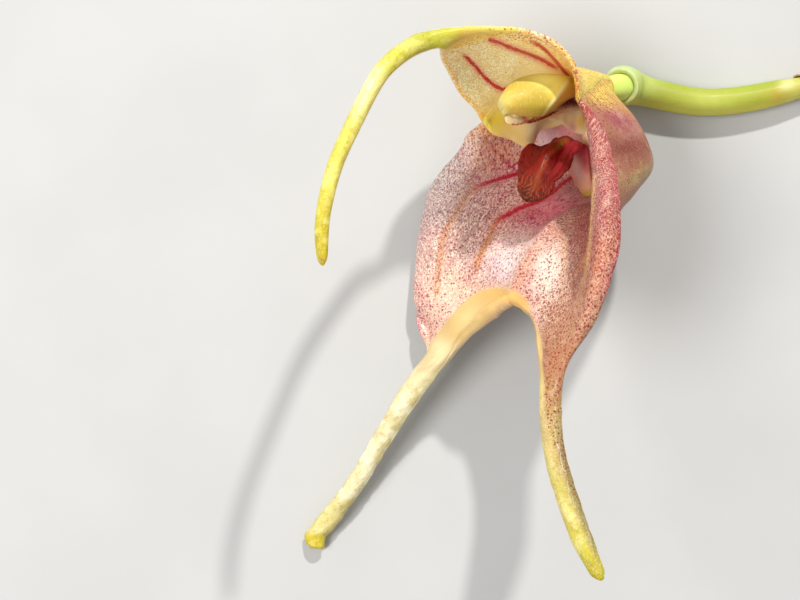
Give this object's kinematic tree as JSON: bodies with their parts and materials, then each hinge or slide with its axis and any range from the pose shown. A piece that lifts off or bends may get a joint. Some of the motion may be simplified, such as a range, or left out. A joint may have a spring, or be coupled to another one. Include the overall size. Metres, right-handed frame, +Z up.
{
  "type": "masdevallia orchid flower",
  "caption": "Picked masdevallia orchid flower with long-tailed sepals joined in a speckled cup, red lip, small petals and a bare stem, lying on its side.",
  "frame": {"origin": "centre of the bounding box, on the surface that the flower lies on", "axes": "+X runs along the stem from the flower towards the cut end, +Y is the side that the upper, dorsal sepal is on, +Z is up; the flower lies on its lower lateral sepal and its stem and looks towards -X and +Z"},
  "size_m": [0.0638, 0.0496, 0.0319],
  "materials": {
    "synsepal": "pale pink-beige, speckled and veined dark red, glossy wax",
    "dorsal_sepal": "yellow tail and pale translucent blade with crimson veins",
    "petal_right": "waxy yellow",
    "petal_left": "waxy orange-cream",
    "lip": "dark red with orange ridges, finely warty",
    "column": "waxy cream-yellow",
    "anther_cap": "waxy white",
    "ovary": "glossy yellow to olive",
    "floral_bract": "glossy mint green",
    "peduncle": "glossy yellow-green",
    "peduncle_sheath": "papery, mustard yellow"
  },
  "bodies": {
    "root": {"synsepal": "synsepal", "dorsal_sepal": "dorsal_sepal", "petal_right": "petal_right", "petal_left": "petal_left", "lip": "lip", "column": "column", "anther_cap": "anther_cap", "ovary": "ovary", "floral_bract": "floral_bract", "peduncle": "peduncle", "peduncle_sheath": "peduncle_sheath"}
  },
  "joints": []
}
